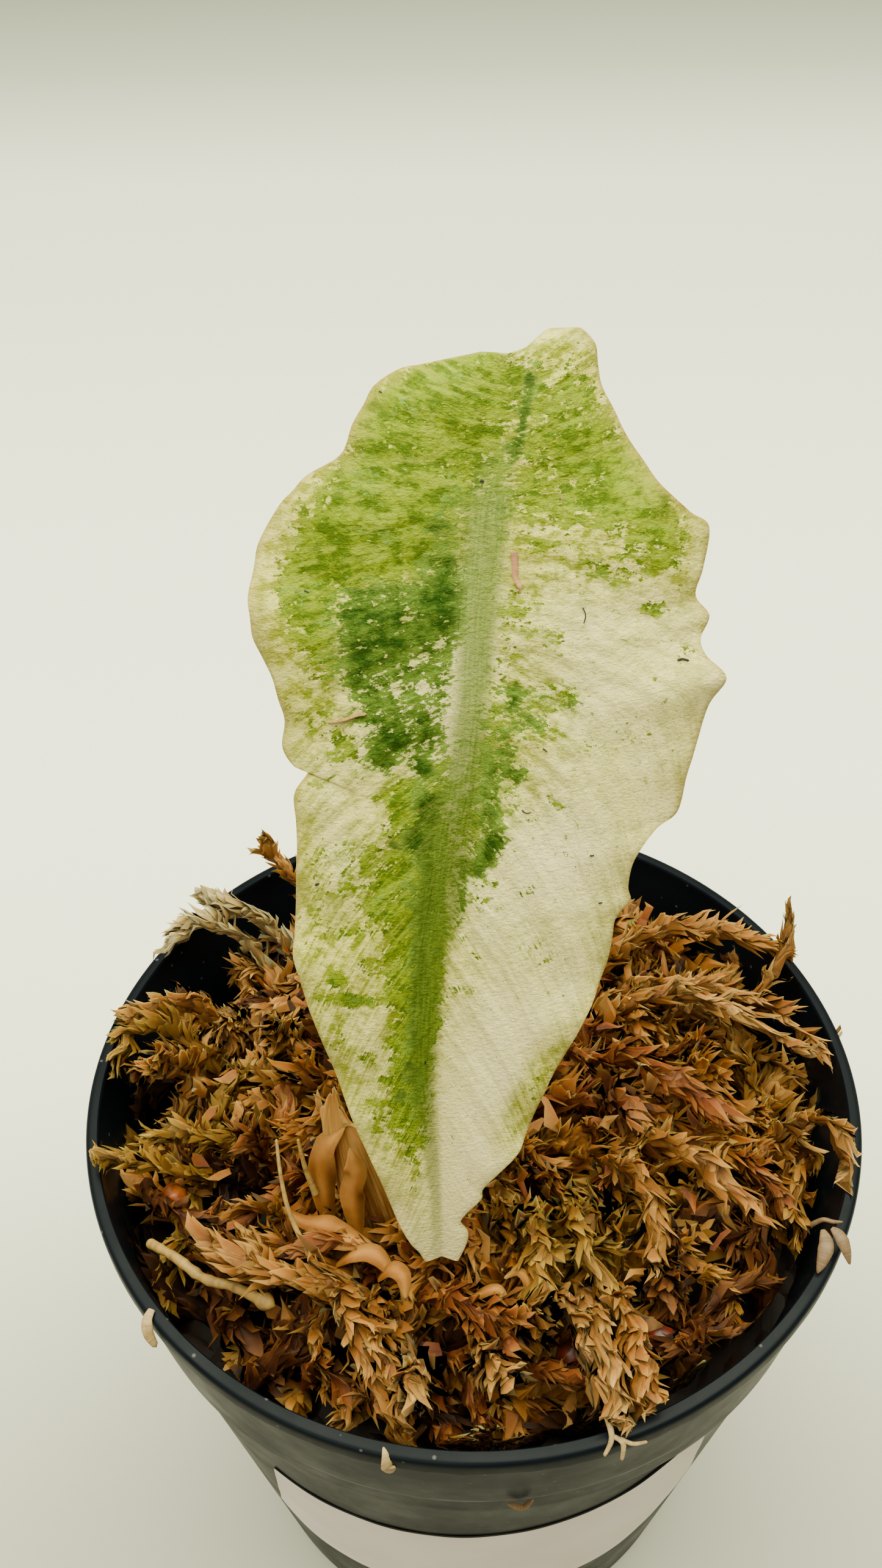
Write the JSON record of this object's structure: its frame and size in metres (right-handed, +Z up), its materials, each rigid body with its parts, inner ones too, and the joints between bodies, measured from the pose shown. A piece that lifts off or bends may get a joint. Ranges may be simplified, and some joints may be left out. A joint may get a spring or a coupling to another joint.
{
  "type": "potted alocasia",
  "caption": "Young variegated alocasia: a single upright leaf rising from dried sphagnum moss in a small tapered nursery pot with a blank sticker.",
  "frame": {"origin": "centre of the pot's foot, on the surface it stands on", "axes": "+Z up along the pot's axis; -Y is the front, which the leaf faces; +X to the right seen from the front"},
  "size_m": [0.076, 0.076, 0.1416],
  "materials": {
    "pot_plastic": "black polypropylene, fine satin moulding",
    "label_paper": "matt white sticker paper",
    "dried_moss": "dry fibrous, rust to straw",
    "leaf": "smooth waxy leaf, cream with green mottling",
    "petiole": "smooth pale green stalk",
    "sheath": "dry papery tan",
    "corm": "rough brown skin",
    "dry_stem": "dry straw",
    "prill": "resin-coated amber grain"
  },
  "bodies": {
    "root": {"pot": "pot_plastic", "label": "label_paper", "moss_bed": "dried_moss", "leaf_blade": "leaf", "petiole": "petiole", "stem_sheath": "sheath", "corm": "corm", "pale_stem": "dry_stem", "fertiliser_prill_1": "prill", "fertiliser_prill_2": "prill", "fertiliser_prill_3": "prill"}
  },
  "joints": []
}
